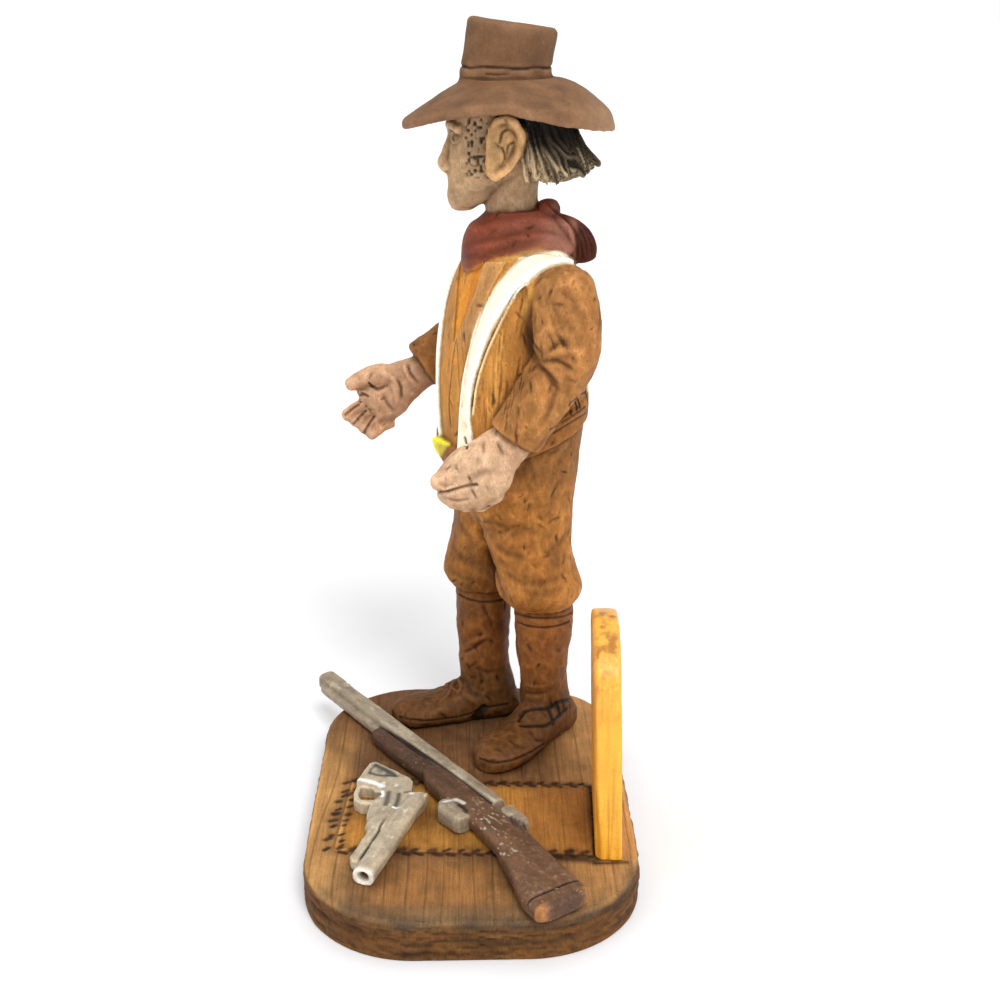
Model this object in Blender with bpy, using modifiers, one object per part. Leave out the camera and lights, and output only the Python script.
"""A carved and painted wooden figure of a frontier man on a plinth.

Metres, +Z up. The origin is the centre of the plinth's underside. The figure looks towards -X,
+Y is away from the side that is normally seen, and a headboard, a rifle and a revolver share
the plinth with it.
"""
import math

import bmesh
import bpy
from mathutils import Matrix, Vector

MM = 0.001

# Plinth: a dressed board with rounded corners and a worn top edge
PLINTH_LENGTH = 140 * MM
PLINTH_DEPTH = 196 * MM
PLINTH_THICKNESS = 18 * MM
PLINTH_FRONT_RADIUS = 48 * MM
PLINTH_BACK_RADIUS = 44 * MM
PLINTH_EDGE_ROUND = 2.4 * MM
PLINTH_FOOT_ROUND = 0.8 * MM

# Gap that every piece keeps to the one it stands on
SEAT_GAP = 0.3 * MM

# Figure: its height above the plinth, and how far its standing point is from the plinth's centre
FIGURE_HEIGHT = 329 * MM
FIGURE_RIGHT = 22 * MM
FIGURE_BACK = 58 * MM
FIGURE_TURN = math.radians(12)

# Headboard: an upright arched board at the end of the patch, set in from the plinth's end
BOARD_WIDTH = 59.4 * MM
BOARD_HEIGHT = 96.6 * MM
BOARD_THICKNESS = 11 * MM
BOARD_ARCH_RISE = 20 * MM
BOARD_LEAN = math.radians(1.6)
BOARD_TURN = math.radians(-3.5)
BOARD_EDGE_ROUND = 1.0 * MM
BOARD_INSET = 11.8 * MM
BOARD_BACK = -29.7 * MM

# Rifle: carved in one piece, lying on the plinth from its butt to its muzzle
RIFLE_LENGTH = 224 * MM
RIFLE_BUTT_RIGHT = 33 * MM
RIFLE_BUTT_BACK = -93 * MM
RIFLE_TURN = math.radians(124.4)

# Revolver: carved in one piece, lying flat in front of the rifle
REVOLVER_LENGTH = 84 * MM
REVOLVER_BORE = 4 * MM
REVOLVER_INSET = 29 * MM
REVOLVER_BACK = -76 * MM
REVOLVER_TURN = math.radians(71.25)

# One 329th of the figure's height: a millimetre at the real size. The body's places and
# girths are written in it, as right, back and up from the standing point.
U = FIGURE_HEIGHT / 329
FUSE_VOXEL = 0.8
FACET_RATIO = 0.019

COLORS = {
    "base": (0.26, 0.14, 0.06),
    "figure": (0.30, 0.16, 0.07),
    "headboard": (0.75, 0.42, 0.10),
    "rifle": (0.10, 0.07, 0.05),
    "revolver": (0.55, 0.55, 0.53),
}

FORWARD = Vector((-math.cos(FIGURE_TURN), -math.sin(FIGURE_TURN), 0))
NEAR = Vector((math.sin(FIGURE_TURN), -math.cos(FIGURE_TURN), 0))
UP = Vector((0, 0, 1))
RIGHT = Vector((1, 0, 0))
BACK = Vector((0, 1, 0))


# Scene and object helpers

def clear_scene():
    for item in list(bpy.data.objects):
        bpy.data.objects.remove(item, do_unlink=True)


def make_collection(name):
    collection = bpy.data.collections.new(name)
    bpy.context.scene.collection.children.link(collection)
    return collection


def make_material(name, roughness, metallic=0.0):
    material = bpy.data.materials.new(name)
    material.use_nodes = True
    shader = material.node_tree.nodes["Principled BSDF"]
    shader.inputs["Base Color"].default_value = (*COLORS[name], 1)
    shader.inputs["Roughness"].default_value = roughness
    shader.inputs["Metallic"].default_value = metallic
    return material


def object_from(name, bm, collection):
    bmesh.ops.recalc_face_normals(bm, faces=bm.faces)
    mesh = bpy.data.meshes.new(name)
    bm.to_mesh(mesh)
    bm.free()
    mesh.shade_smooth()
    mesh.set_sharp_from_angle(angle=math.radians(40))
    item = bpy.data.objects.new(name, mesh)
    collection.objects.link(item)
    return item


def as_cutter(item):
    item.hide_render = True
    item.display_type = "WIRE"
    return item


def boolean(target, tool, operation):
    modifier = target.modifiers.new(operation.title() + " " + tool.name, "BOOLEAN")
    modifier.object = tool
    modifier.operation = operation
    modifier.solver = "EXACT"


# Lofts: a form is a few key sections, run through smoothly

def spline(keys, t):
    """Catmull-Rom value at t, counted in key intervals, of a list of equal-length tuples."""
    last = len(keys) - 1
    i = min(int(t), last - 1)
    f = t - i
    a, b, c, d = keys[max(i - 1, 0)], keys[i], keys[i + 1], keys[min(i + 2, last)]
    return [
        0.5 * (2 * q + (r - p) * f + (2 * p - 5 * q + 4 * r - s) * f * f
               + (3 * q - p - 3 * r + s) * f ** 3)
        for p, q, r, s in zip(a, b, c, d)
    ]


def oval(angle, power):
    """Point of a unit superellipse."""
    c, s = math.cos(angle), math.sin(angle)
    return (math.copysign(abs(c) ** (2 / power), c), math.copysign(abs(s) ** (2 / power), s))


def skin(bm, rings):
    """Closed surface over a row of rings of equal count, with flat caps."""
    loops = [[bm.verts.new(point) for point in ring] for ring in rings]
    count = len(loops[0])
    for low, high in zip(loops, loops[1:]):
        for i in range(count):
            j = (i + 1) % count
            bm.faces.new((low[i], low[j], high[j], high[i]))
    bm.faces.new(loops[0])
    bm.faces.new(list(reversed(loops[-1])))


def loft(keys, across, around=14, steps=2, power=2.2, level=False, domes=(0, 0), dome_steps=2):
    """Rings of a form. A key is (right, back, up, half size across, half size the other way)
    in U from the standing point. A level form has horizontal rings, and the others are square
    to the line through the keys. domes are how far its two ends are rounded over, in U."""
    count = (len(keys) - 1) * steps
    stations = [spline(keys, i / steps) for i in range(count + 1)]
    centres = [Vector(s[:3]) for s in stations]
    rings = []

    def ring(centre, along, half_a, half_b):
        side = across - along * across.dot(along)
        side.normalize()
        other = along.cross(side)
        points = []
        for i in range(around):
            c, s = oval(2 * math.pi * i / around, power)
            points.append((centre + side * (half_a * c) + other * (half_b * s)) * U)
        return points

    def direction(i):
        if level:
            return UP if centres[-1].z > centres[0].z else -UP
        return (centres[min(i + 1, count)] - centres[max(i - 1, 0)]).normalized()

    for end, reach in ((0, domes[0]), (count, domes[1])):
        cap = []
        if reach:
            along = direction(end)
            sign = -1 if end == 0 else 1
            for k in range(1, dome_steps + 1):
                turn = math.radians(82) * k / dome_steps
                shift = along * (sign * reach * math.sin(turn))
                size = math.cos(turn)
                cap.append(ring(centres[end] + shift, along,
                                stations[end][3] * size, stations[end][4] * size))
        if end == 0:
            rings = cap[::-1]
            rings += [ring(centres[i], direction(i), stations[i][3], stations[i][4])
                      for i in range(count + 1)]
        else:
            rings += cap
    return rings


# Plinth

def build_base(collection):
    bm = bmesh.new()
    bmesh.ops.create_cube(bm, size=1)
    bmesh.ops.scale(bm, vec=(PLINTH_LENGTH, PLINTH_DEPTH, PLINTH_THICKNESS), verts=bm.verts)
    bmesh.ops.translate(bm, vec=(0, 0, PLINTH_THICKNESS / 2), verts=bm.verts)
    for side, radius in ((-1, PLINTH_FRONT_RADIUS), (1, PLINTH_BACK_RADIUS)):
        corners = [e for e in bm.edges
                   if abs(e.verts[0].co.z - e.verts[1].co.z) > PLINTH_THICKNESS / 2
                   and e.verts[0].co.y * side > PLINTH_DEPTH * 0.49]
        bmesh.ops.bevel(bm, geom=corners, offset=radius, segments=9, profile=0.5,
                        affect="EDGES")
    for height, rounding, segments in ((PLINTH_THICKNESS, PLINTH_EDGE_ROUND, 3),
                                       (0, PLINTH_FOOT_ROUND, 1)):
        rim = [e for e in bm.edges if all(abs(v.co.z - height) < 1e-6 for v in e.verts)]
        bmesh.ops.bevel(bm, geom=rim, offset=rounding, segments=segments, profile=0.5,
                        affect="EDGES")
    return object_from("base", bm, collection)


# Headboard

def build_headboard(collection):
    bm = bmesh.new()
    shoulder = BOARD_HEIGHT - BOARD_ARCH_RISE
    outline = [(-BOARD_WIDTH / 2, 0), (BOARD_WIDTH / 2, 0)]
    for i in range(17):
        angle = math.pi * i / 16
        outline.append((BOARD_WIDTH / 2 * math.cos(angle),
                        shoulder + BOARD_ARCH_RISE * math.sin(angle)))
    front = bm.faces.new([bm.verts.new((-BOARD_THICKNESS / 2, y, z)) for y, z in outline])
    grown = bmesh.ops.extrude_face_region(bm, geom=[front])
    moved = [v for v in grown["geom"] if isinstance(v, bmesh.types.BMVert)]
    bmesh.ops.translate(bm, vec=(BOARD_THICKNESS, 0, 0), verts=moved)
    bmesh.ops.recalc_face_normals(bm, faces=bm.faces)
    rim = [e for e in bm.edges if e.calc_face_angle(0) > math.radians(60)
           and max(v.co.z for v in e.verts) > 1e-6]
    bmesh.ops.bevel(bm, geom=rim, offset=BOARD_EDGE_ROUND, segments=2, profile=0.5,
                    affect="EDGES")
    for vert in bm.verts:
        vert.co.x -= vert.co.z * math.tan(BOARD_LEAN)
    board = object_from("headboard", bm, collection)
    board.location = (PLINTH_LENGTH / 2 - BOARD_INSET, BOARD_BACK, PLINTH_THICKNESS + SEAT_GAP)
    board.rotation_euler.z = BOARD_TURN
    return board


# Figure

def trunk():
    return loft([
        (0, 0, 104, 15, 22), (-0.5, 0, 110, 20.5, 28.5), (-1, 0, 119, 24.8, 32.8),
        (-1.8, 0, 130, 27.3, 36), (-3.2, 0, 145, 30.4, 37.5), (-3, 0, 162, 32, 38),
        (-3, 0, 178, 32, 38.5), (-2, 0, 194, 31, 38.5), (-1, 0, 208, 29, 38),
        (0, 0, 220, 26, 35), (0, 0, 230, 22, 29), (-1, 0, 238, 16, 20),
    ], FORWARD, around=20, power=2.4, level=True)


def shoulders():
    """Yoke from one arm's top to the other's, under the scarf."""
    return loft([(16, -34, 219, 12.5, 11), (9, -18, 224, 15, 12), (2.5, 0, 227, 17, 12),
                 (3, 18, 224, 15, 12), (6, 35, 219, 12.5, 11)], RIGHT, domes=(5, 5))


def leg(near):
    if near:
        keys = [(3, -12, 127, 22.5, 22), (4.5, -12, 114, 20.5, 20), (5, -12, 102, 19.5, 19),
                (8, -12, 91, 18.6, 18.5), (10.5, -12, 78, 19.8, 19.2), (11, -11, 71, 15.2, 15.5)]
    else:
        keys = [(-6, 11, 127, 21, 20), (-9, 13, 112, 19.5, 19.5), (-11, 13.5, 100, 18.5, 19),
                (-13, 14, 90, 18.8, 18.5), (-14.5, 14, 78, 19.8, 19.2), (-15, 14, 71, 15, 15.5)]
    return loft(keys, RIGHT, around=16, power=2.2, level=True, domes=(0, 2), dome_steps=1)


def boot_shaft(near):
    if near:
        keys = [(12, -10, 78, 13.6, 13.5), (13, -8.5, 59, 13.6, 13.5), (12.5, -8, 44, 12.4, 12.5),
                (13.2, -7, 30, 11, 12), (14, -6, 18, 12, 12.5), (14.5, -5, 8, 11, 11)]
    else:
        keys = [(-15, 14, 78, 13.3, 13.5), (-15.2, 14, 55, 13.3, 13.5), (-15, 14, 40, 12.3, 12.5),
                (-14.6, 14, 28, 12.2, 12), (-13, 14, 17, 13, 12), (-11, 13.5, 8, 12, 10)]
    return loft(keys, RIGHT, around=14, level=True)


def boot_foot(near):
    """Foot of a boot: sections from the heel's back to the toe, flat below."""
    if near:
        heel, toe = Vector((25, 3.2, 0)), Vector((-16.2, -45.5, 0))
    else:
        heel, toe = Vector((1.5, 14.5, 0)), Vector((-60, 3.5, 0))
    # share of the length, half width, height of the upper
    keys = [(0.00, 6.5, 12), (0.06, 8.8, 19), (0.22, 10, 24), (0.38, 10.6, 23),
            (0.52, 11.6, 17.5), (0.68, 13, 13.6), (0.82, 12.6, 12.4), (0.92, 10.2, 11),
            (0.98, 6.5, 8.8), (1.0, 3.5, 6.6)]
    along = (toe - heel).normalized()
    side = UP.cross(along)
    length = (toe - heel).length
    around = 14
    rings = []
    for i in range((len(keys) - 1) * 2 + 1):
        share, half, top = spline(keys, i / 2)
        ring = []
        for k in range(around):
            c, s = oval(2 * math.pi * k / around, 2.8)
            height = max(s, -0.92) * top / 2 + top / 2 * 0.92
            pinch = 1 - 0.35 * max(s, 0) ** 2
            ring.append((heel + along * (share * length) + side * (half * c * pinch)
                         + UP * height) * U)
        rings.append(ring)
    return rings


def arm_forms(near):
    """Upper arm, forearm with its open cuff, and wrist."""
    if near:
        upper = [(18, -34, 222, 13.2, 14), (19.3, -38, 207, 14.4, 15), (18.6, -40, 194, 13.8, 14),
                 (16, -41, 184, 11.4, 12)]
        fore = [(16.5, -40, 188, 11, 12.5), (11, -42, 180, 11.8, 12.4), (3.6, -43.5, 169.4, 11.8, 12),
                (-2.4, -44, 160.6, 11.6, 12)]
    else:
        upper = [(6, 35, 222, 14, 14), (3, 40, 209, 14.3, 14.5), (-1, 42, 199, 13.5, 13.5),
                 (-3, 42.5, 194, 12.5, 12.5)]
        fore = [(-2, 42, 198, 12.5, 12.5), (-16, 39, 189.5, 13.4, 13.4), (-30, 35, 180, 13.4, 13),
                (-42, 32.5, 171.8, 13.2, 12.6)]
    return (loft(upper, RIGHT, around=14, domes=(9, 6)),
            loft(fore, BACK, around=14, domes=(6, 0)))


def hand_forms(near):
    """Wrist with palm, thumb and four curled fingers. The near hand is seen from its back and
    the far one from its palm."""
    if near:
        palm = [(0, -44, 161, 8.5, 8), (-8.5, -44.5, 153.5, 12, 8.5), (-16, -45, 146, 14.6, 9),
                (-25, -44.5, 140.4, 12.6, 8.5), (-31.5, -44, 137.4, 9, 7)]
        thumb = [(-14, -47, 152, 5, 5.5), (-26, -48, 146, 4.9, 5), (-35.4, -47.5, 141.4, 4, 4.4)]
        joints = [(-32, -44, 134.6), (-28, -44, 131.6), (-23, -44, 130.2), (-17.5, -44, 130.4)]
        bends = [(9, -1, 6), (0, 0, 0), (3, 8, 0), (9, 11, 2)]
        across, radius = Vector((-0.55, 0, 0.82)), 3.8
    else:
        palm = [(-32, 33, 174.5, 8, 6.8), (-42, 31.5, 170.5, 7.8, 6.5),
                (-52.5, 30, 165.2, 10.4, 6.3), (-61, 28.5, 159.4, 12.2, 6),
                (-67, 27.5, 154.8, 11.4, 5)]
        thumb = [(-54, 28, 169.5, 5, 5), (-66, 25.5, 170, 4.6, 4.4), (-76.5, 23.5, 166, 3.5, 3.3)]
        joints = [(-75 + 3.8 * i, 25 + 0.5 * i, 154.5 - 3.3 * i) for i in range(4)]
        bends = [(6, 2, 1.5), (0, -2, 0), (-3.4, -8, -1.8)]
        across, radius = Vector((-0.63, 0, 0.78)), 2.8
    forms = [loft(palm, across, around=12, power=2.3, domes=(0, 3), dome_steps=1),
             loft(thumb, UP, around=8, domes=(0, 2.8), dome_steps=2)]
    for joint in joints:
        keys = [(*(Vector(joint) + Vector(bend)), radius, radius) for bend in bends]
        forms.append(loft(keys, across, around=8, domes=(0, 2.2), dome_steps=1))
    return forms


def head_forms():
    """Skull with jaw, a plain nose, chin, lips and ears, neck and the hair behind them."""
    skull = [(-23.5, 0, 250.5, 5, 5), (-20.5, 0, 254, 9.5, 8.5), (-16, 0, 260, 14, 12),
             (-10, 0, 267, 20, 15.2), (-6.5, 0, 276, 23, 17.4), (-6, 0, 286, 24, 18),
             (-5.5, 0, 296, 22, 17)]
    turn = math.radians(5)
    gaze = Vector((-math.cos(turn), -math.sin(turn), 0))
    nose = [(-27.5, -1, 281, 2.0, 2.2), (-29.5, -1.4, 275, 2.6, 2.6), (-31.2, -1.6, 270.5, 3.0, 3.2),
            (-29, -1.4, 267.5, 2.6, 2.6)]
    brow = [(-26, -13, 283, 2.4, 3), (-28.6, -5, 284.5, 2.2, 3), (-28.6, 3, 284.5, 2.2, 3),
            (-26, 11, 283, 2.4, 3)]
    lips = [(-24.5, -7, 261, 2.0, 2.4), (-27.4, -1, 261.4, 2.0, 2.4), (-25, 5, 261, 2.0, 2.4)]
    forms = [
        loft(skull, gaze, around=18, power=2.15, level=True, domes=(1.5, 2)),
        loft(nose, BACK, around=8, domes=(1, 1.5)),
        loft(brow, UP, around=8, domes=(1.5, 1.5), dome_steps=1),
        loft(lips, UP, around=8, domes=(1.5, 1.5), dome_steps=1),
        loft([(-2, 0, 236, 12.5, 12), (-2.5, 0, 246, 11.3, 11), (-3, 0, 256, 11.5, 11),
              (-3, 0, 266, 12, 12)], RIGHT, around=14, level=True),
        loft([(9, 0, 295, 14.4, 20), (9, 0, 285, 14.8, 21), (12.4, 0, 276, 15.8, 20.4),
              (17, 0, 269.6, 15.2, 18), (14, 0, 265.4, 12.5, 15), (11, 0, 262.5, 9, 12)],
             RIGHT, around=16, power=2.0, level=True),
    ]
    for side in (-1, 1):
        ear = [(-7.2, side * 16.6, 266, 3.6, 2.6), (-5.6, side * 19.0, 272, 5.6, 2.6),
               (-4.6, side * 20.2, 279, 7.8, 2.4), (-4.8, side * 20.0, 284.5, 6.4, 2.2)]
        forms.append(loft(ear, RIGHT, around=10, domes=(1.6, 2.6)))
    return forms


def hat_forms():
    """Crown that leans back a little, and the drooping brim as a closed round-edged sheet."""
    crown = [(-5.6, 0, 297, 19.1, 17.4), (-5.3, 0, 305, 19.1, 17.4), (-4.3, 0, 312, 19, 17.2),
             (-2.9, 0, 319, 19.3, 17), (-2.6, 0, 325, 18.9, 16.8)]
    tilt = Matrix.Rotation(math.radians(8), 4, "Y")
    hinge = Vector((-2.4, 0, 325)) * U
    rings = loft(crown, RIGHT, around=24, power=2.15, level=True)
    top = [tilt @ (point - hinge) + hinge for point in rings[-1]]
    lid = [(point - hinge) * 0.93 + hinge + UP * (0.8 * U) for point in top]
    rings = rings[:-1] + [top, lid]
    around = 32
    reach = [0.0, 0.3, 0.6, 0.82, 0.92, 0.98]
    thickness = 4.6
    centre = Vector((-4.2, 0, 0))

    def rim_ring(t, lift):
        ring = []
        for k in range(around):
            c, s = oval(2 * math.pi * k / around, 2.05)
            inner = Vector((c * 15, s * 13.5, 0))
            back = max(c, 0)
            outer = Vector((c * (44.7 + 0.6 * back), s * 41, 0))
            drop = (9.5 + (8.6 + 1.9 * back) * abs(c) ** (2 - 0.95 * back)
                    + 3.6 * math.sin(math.pi * back ** 0.75)) * t ** (1.85 + 0.7 * c)
            lip = 2.4 * back * math.sin(math.pi * t ** 8)
            ring.append((centre + inner.lerp(outer, t) + UP * (304.5 - drop + lip + lift)) * U)
        return ring

    below = [rim_ring(t * 0.98, -thickness) for t in reach]
    edge = [rim_ring(0.99, -thickness * 0.72), rim_ring(1.0, -thickness * 0.3)]
    above = [rim_ring(t, 0) for t in reversed(reach)]
    return [rings, below + edge + above]


def scarf_forms():
    collar = [(2.6, 0, 222, 20, 24), (1, 0, 228, 25, 26.5), (0, 0, 234, 24.6, 25.5),
              (-0.4, 0, 240, 22.5, 22.5), (-0.4, 0, 245, 18, 18.5), (-0.6, 0, 249.5, 13, 14)]
    knot = [(9, -6, 246.5, 4.5, 4.5), (12.5, -2, 248.8, 5, 5), (14, 4, 248.4, 5, 5)]
    tail = [(13, -2, 244.8, 5, 4.5), (22, -4, 240.2, 5.5, 6.6), (27.2, -6, 235, 5.5, 6.6),
            (28.8, -7, 229.5, 4.6, 5.4)]
    return [loft(collar, RIGHT, around=20, power=2.1),
            loft(knot, UP, around=10, domes=(3, 3), dome_steps=1),
            loft(tail, BACK, around=10, domes=(0, 2.2), dome_steps=1)]


def belt_ring():
    """Belt: a band round the waist, higher at the back, with the buckle on its front."""
    rings = []
    for lift, swell in ((-5.4, 0.5), (-5.0, 1.8), (5.0, 1.8), (5.4, 0.5)):
        ring = []
        for k in range(24):
            c, s = oval(2 * math.pi * k / 24, 2.4)
            x, y = c * (31 + swell), s * (38 + swell)
            height = 155 - 0.34 * x + lift
            ring.append((Vector((-2.6, 0, height)) + FORWARD * x + NEAR * y) * U)
        rings.append(ring)
    return rings


def strap(near):
    """Suspender: a flat band from the shoulder down the front of the trunk to the belt."""
    if near:
        keys = [(20, -29, 230.5, 6, 1.7), (14, -30.6, 232.6, 6.4, 1.7), (6, -32.2, 231, 6, 1.7),
                (-3.5, -33.6, 223.5, 5.2, 1.7), (-10, -33.6, 214.5, 4.6, 1.7),
                (-15.2, -33.5, 204.5, 4, 1.7), (-19, -32.6, 192, 3.4, 1.7),
                (-21.6, -31.6, 181, 3, 1.7), (-23, -30.6, 168, 3, 1.7),
                (-22.8, -30, 157, 4.2, 1.7), (-23, -29.6, 150, 4.6, 1.7)]
        return loft(keys, Vector((0.75, -0.66, 0)), around=8, steps=1, power=4)
    keys = [(14, 31, 231.5, 6, 1.7), (5, 33, 232.6, 6, 1.7), (-4.7, 31.7, 231, 6, 1.7),
            (-17.3, 23.9, 227, 5.4, 1.7), (-27, 14.6, 217.5, 4.8, 1.7), (-31.6, 5.6, 205, 4, 1.7),
            (-34, -1.7, 190, 3.4, 1.7), (-34.6, -4.8, 172, 3, 1.7), (-34.4, -5.4, 158, 3.6, 1.7),
            (-33.6, -5.6, 151, 4, 1.7)]
    return loft(keys, BACK, around=8, steps=1, power=4)


def buckle():
    """Belt buckle: a cushion-shaped plate that leans in at its lower edge."""
    turn = math.radians(25)
    face = FORWARD * math.cos(turn) + NEAR * math.sin(turn)
    side = NEAR * math.cos(turn) - FORWARD * math.sin(turn)
    centre = Vector((-3.2, 0, 145.4)) + FORWARD * 30.5 + NEAR * 6.3
    rings = []
    for depth, size in ((-3, 1), (0.8, 1), (1.8, 0.82)):
        ring = []
        for k in range(8):
            c, s = oval(2 * math.pi * (k + 0.5) / 8, 5)
            ring.append((centre + face * (depth + 1.8 * c * size) + side * (s * 7.5 * size)
                         + UP * (c * 4.4 * size)) * U)
        rings.append(ring)
    return rings


def build_figure(collection):
    """All the forms as one solid: fused at a fine voxel, then brought down to large facets."""
    forms = [trunk(), shoulders(), belt_ring(), buckle(), strap(True), strap(False)]
    for near in (True, False):
        forms += [leg(near), boot_shaft(near), boot_foot(near), *arm_forms(near)]
        forms += hand_forms(near)
    forms += head_forms() + hat_forms() + scarf_forms()
    bm = bmesh.new()
    for rings in forms:
        skin(bm, rings)
    figure = object_from("figure", bm, collection)
    figure.location = (FIGURE_RIGHT, FIGURE_BACK, PLINTH_THICKNESS + SEAT_GAP)
    fuse = figure.modifiers.new("Fuse", "REMESH")
    fuse.mode = "VOXEL"
    fuse.voxel_size = FUSE_VOXEL * U
    facet = figure.modifiers.new("Facet", "DECIMATE")
    facet.ratio = FACET_RATIO
    return figure


# Rifle, in 224ths of its length, along its own X from the butt, with Y to the left

def bar(keys, unit, around=8, power=2.6):
    """Rings of a bar along X. A key is (x, lowest y, highest y, lowest z, highest z)."""
    rings = []
    for x, y0, y1, z0, z1 in keys:
        ring = []
        for k in range(around):
            c, s = oval(2 * math.pi * (k + 0.5) / around, power)
            ring.append(Vector((x, (y0 + y1) / 2 + c * (y1 - y0) / 2,
                                (z0 + z1) / 2 + s * (z1 - z0) / 2)) * unit)
        rings.append(ring)
    return rings


def lay_down(item, right, back, turn):
    item.location = (right, back, PLINTH_THICKNESS + SEAT_GAP)
    item.rotation_euler.z = turn


def bars_joined(name, main_item, bars, cutters):
    """Unions each bar to the main item, which they lie down with."""
    for number, rings in enumerate(bars):
        bm = bmesh.new()
        skin(bm, rings)
        tool = as_cutter(object_from("%s_form_%02d" % (name, number), bm, cutters))
        tool.location = main_item.location
        tool.rotation_euler = main_item.rotation_euler
        boolean(main_item, tool, "UNION")


def build_rifle(collection, cutters):
    unit = RIFLE_LENGTH / 224
    stock = [(-4.6, -11.5, 10.5, 1.2, 7.6), (-2.4, -13.6, 12.6, 0, 9), (7, -14.4, 11.6, 0, 9.3),
             (24, -15.8, 5.6, 0, 9.2), (42, -17.8, -0.8, 0, 9), (62, -17.4, -3.8, 0, 9),
             (84, -18.3, -4.2, 0, 9.2), (103, -18.5, -5.6, 0, 9.2), (110, -18.4, -8.6, 0, 8.6)]
    bm = bmesh.new()
    skin(bm, bar(stock, unit, around=12, power=3.4))
    rifle = object_from("rifle", bm, collection)
    lay_down(rifle, RIFLE_BUTT_RIGHT, RIFLE_BUTT_BACK, RIFLE_TURN)
    fore_end = [(106, -17.2, -8.2, 0.1, 7.3), (135, -16.6, -7.6, 0.1, 7.2),
                (152, -16.2, -8.2, 0.1, 7), (157, -15.6, -10.2, 0.7, 6)]
    barrel = [(67.7, -24.4, -16, 0.2, 8.7), (207, -24.4, -16, 0.2, 8.7)]
    muzzle = [(205.6, -25, -15.5, 0.3, 8.9), (218.8, -24.9, -15.6, 0.3, 8.9)]
    magazine = [(153, -18.3, -12.8, 0.4, 6), (213, -18.2, -13.4, 0.6, 6.1)]
    lever = [(66, -4.9, 1.2, 0.1, 7.8), (68, -5.5, 2.8, 0.1, 8.7), (79, -5.2, 3.4, 0.1, 8.7),
             (83.4, -6.3, 0.4, 0.1, 8)]
    hammer = [(48.6, -23.4, -17.2, 0.1, 7), (51, -24.2, -17.1, 0.1, 8.2),
              (62.6, -24.9, -17.0, 0.1, 8.3)]
    sight = [(202.8, -25.6, -23.2, 3.4, 6.4), (205.2, -26.4, -23.2, 3.4, 6.4)]
    bars = [bar(fore_end, unit, around=10), bar(barrel, unit), bar(muzzle, unit),
            bar(magazine, unit), bar(lever, unit, power=4), bar(hammer, unit, power=4.2),
            bar(sight, unit, power=5)]
    bars_joined("rifle", rifle, bars, cutters)
    return rifle


# Revolver, in 84ths of its length, along its own X from the muzzle, with Y to the left

def flat_outline(name, outlines, thickness, rounding, collection):
    """A flat piece of even thickness from closed outlines, the first one the outer."""
    curve = bpy.data.curves.new(name, "CURVE")
    curve.dimensions = "2D"
    curve.fill_mode = "BOTH"
    curve.extrude = thickness / 2 - rounding
    curve.bevel_depth = rounding
    curve.bevel_resolution = 0
    curve.offset = -rounding
    for outline in outlines:
        line = curve.splines.new("POLY")
        line.points.add(len(outline) - 1)
        for point, (x, y) in zip(line.points, outline):
            point.co = (x, y, 0, 1)
        line.use_cyclic_u = True
    holder = bpy.data.objects.new(name + "_outline", curve)
    collection.objects.link(holder)
    bpy.context.view_layer.update()
    evaluated = holder.evaluated_get(bpy.context.evaluated_depsgraph_get())
    mesh = bpy.data.meshes.new_from_object(evaluated)
    bpy.data.objects.remove(holder)
    bm = bmesh.new()
    bm.from_mesh(mesh)
    bpy.data.meshes.remove(mesh)
    bmesh.ops.remove_doubles(bm, verts=bm.verts, dist=1e-5)
    bmesh.ops.translate(bm, vec=(0, 0, thickness / 2), verts=bm.verts)
    return object_from(name, bm, collection)


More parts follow.
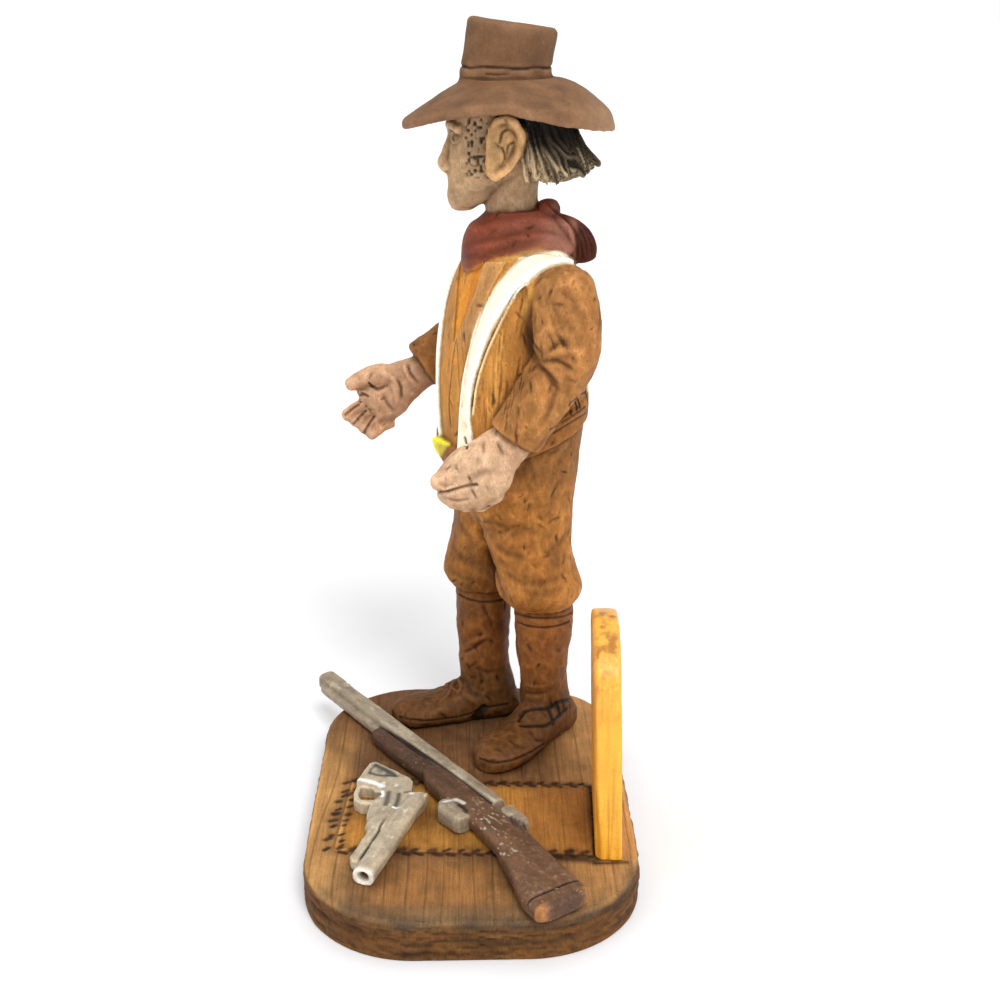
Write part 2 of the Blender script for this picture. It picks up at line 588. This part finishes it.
def build_revolver(collection, cutters):
    unit = REVOLVER_LENGTH / 84
    frame = [(20, 1), (44, 0.5), (59, -1.6), (65.6, -1.2), (65.8, 3), (64.4, 6), (72.4, 8.4),
             (75.4, 11), (84, 31), (82, 33.2), (66.4, 33.2), (62, 31.4), (56, 30.4), (51, 28),
             (48.8, 24), (49.8, 19.6), (41.8, 18.4), (33, 14.4), (20, 9)]
    finger_hole = [(61.2, 29), (55, 27.6), (52, 25), (51.9, 22), (54, 19.4), (58.6, 18),
                   (60.6, 19.4), (59.8, 21.6), (62, 24)]
    outlines = [[(x * unit, y * unit) for x, y in frame],
                [(x * unit, y * unit) for x, y in finger_hole]]
    revolver = flat_outline("revolver", outlines, 6 * unit, 0.6 * unit, collection)
    lay_down(revolver, REVOLVER_INSET - PLINTH_LENGTH / 2, REVOLVER_BACK, REVOLVER_TURN)
    barrel = [(1.2, -1.3, 7.5, 0.05, 7.2), (20, -1.5, 7.7, 0.05, 7.2), (50, -1.5, 8, 0.05, 7.3),
              (61, -1.9, 6, 0.05, 7.2)]
    ejector = [(8.6, 8.6, 11.6, 0.8, 5.2), (11.5, 7.4, 13.2, 0.1, 5.6), (38, 7.4, 14, 0.1, 5.8)]
    cylinder = [(31.6, 6, 14, 0.3, 6.8), (33.6, 5.4, 15.6, 0.1, 7.6), (46.2, 6, 18.6, 0.1, 7.8),
                (48.2, 7, 16.8, 0.3, 7)]
    bars = [bar(barrel, unit, power=3), bar(ejector, unit, power=3.2), bar(cylinder, unit, around=10)]
    bars_joined("revolver", revolver, bars, cutters)
    bm = bmesh.new()
    bmesh.ops.create_cone(bm, cap_ends=True, segments=12, radius1=REVOLVER_BORE / 2,
                          radius2=REVOLVER_BORE / 2, depth=12 * unit,
                          matrix=Matrix.Translation((0, 3.1 * unit, 3.7 * unit))
                          @ Matrix.Rotation(math.radians(90), 4, "Y"))
    bore = as_cutter(object_from("revolver_bore", bm, cutters))
    lay_down(bore, REVOLVER_INSET - PLINTH_LENGTH / 2, REVOLVER_BACK, REVOLVER_TURN)
    boolean(revolver, bore, "DIFFERENCE")
    return revolver


def main():
    clear_scene()
    collection = make_collection("carved_wooden_figure")
    cutters = make_collection("cutters")
    base = build_base(collection)
    headboard = build_headboard(collection)
    figure = build_figure(collection)
    rifle = build_rifle(collection, cutters)
    revolver = build_revolver(collection, cutters)
    finishes = ((base, 0.75, 0.0), (headboard, 0.45, 0.0), (figure, 0.7, 0.0),
                (rifle, 0.55, 0.0), (revolver, 0.45, 0.2))
    for item, roughness, metallic in finishes:
        item.data.materials.append(make_material(item.name, roughness, metallic))


main()
